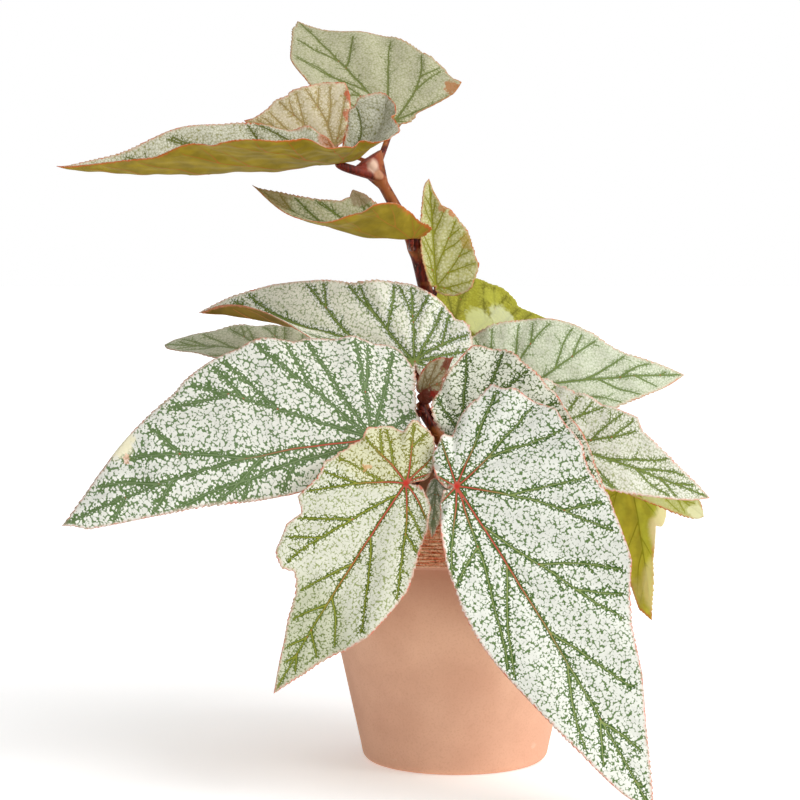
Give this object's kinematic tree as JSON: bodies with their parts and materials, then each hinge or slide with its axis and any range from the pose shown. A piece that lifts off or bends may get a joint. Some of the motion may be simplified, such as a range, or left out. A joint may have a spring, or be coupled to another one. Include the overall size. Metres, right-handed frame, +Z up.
{
  "type": "potted begonia",
  "caption": "Potted begonia with large lopsided speckled leaves on jointed canes, in a ridged terracotta pot filled with soil.",
  "frame": {"origin": "on the pot's axis, at the flat underside that the pot stands on", "axes": "+Z up along the pot's axis; -Y towards the viewer of the picture, the side with the largest leaves; +X to that viewer's right"},
  "size_m": [0.2732, 0.2207, 0.3133],
  "materials": {
    "terracotta": "matte",
    "soil": "matte",
    "cane": "satin",
    "leaf_speckled": "satin",
    "leaf_backlit": "satin",
    "leaf_underside": "satin",
    "leaf_cream": "satin",
    "leaf_young": "satin"
  },
  "bodies": {
    "root": {"pot": "terracotta", "soil": "soil", "cane_main": "cane", "cane_right": "cane", "cane_left": "cane", "leaf_front_right": "leaf_speckled", "leaf_front_centre": "leaf_backlit", "leaf_left_large": "leaf_speckled", "leaf_rear_left": "leaf_speckled", "leaf_far_left": "leaf_speckled", "leaf_inner_right": "leaf_speckled", "leaf_right_upper": "leaf_speckled", "leaf_right_lower": "leaf_speckled", "leaf_right_hanging": "leaf_backlit", "leaf_right_under": "leaf_backlit", "leaf_rear_right": "leaf_backlit", "leaf_stem_upright": "leaf_backlit", "leaf_stem_left": "leaf_underside", "leaf_top_left": "leaf_underside", "leaf_top_back": "leaf_speckled", "leaf_top_cream": "leaf_cream", "leaf_centre_young": "leaf_young", "leaf_rim_shaded": "leaf_speckled"}
  },
  "joints": []
}
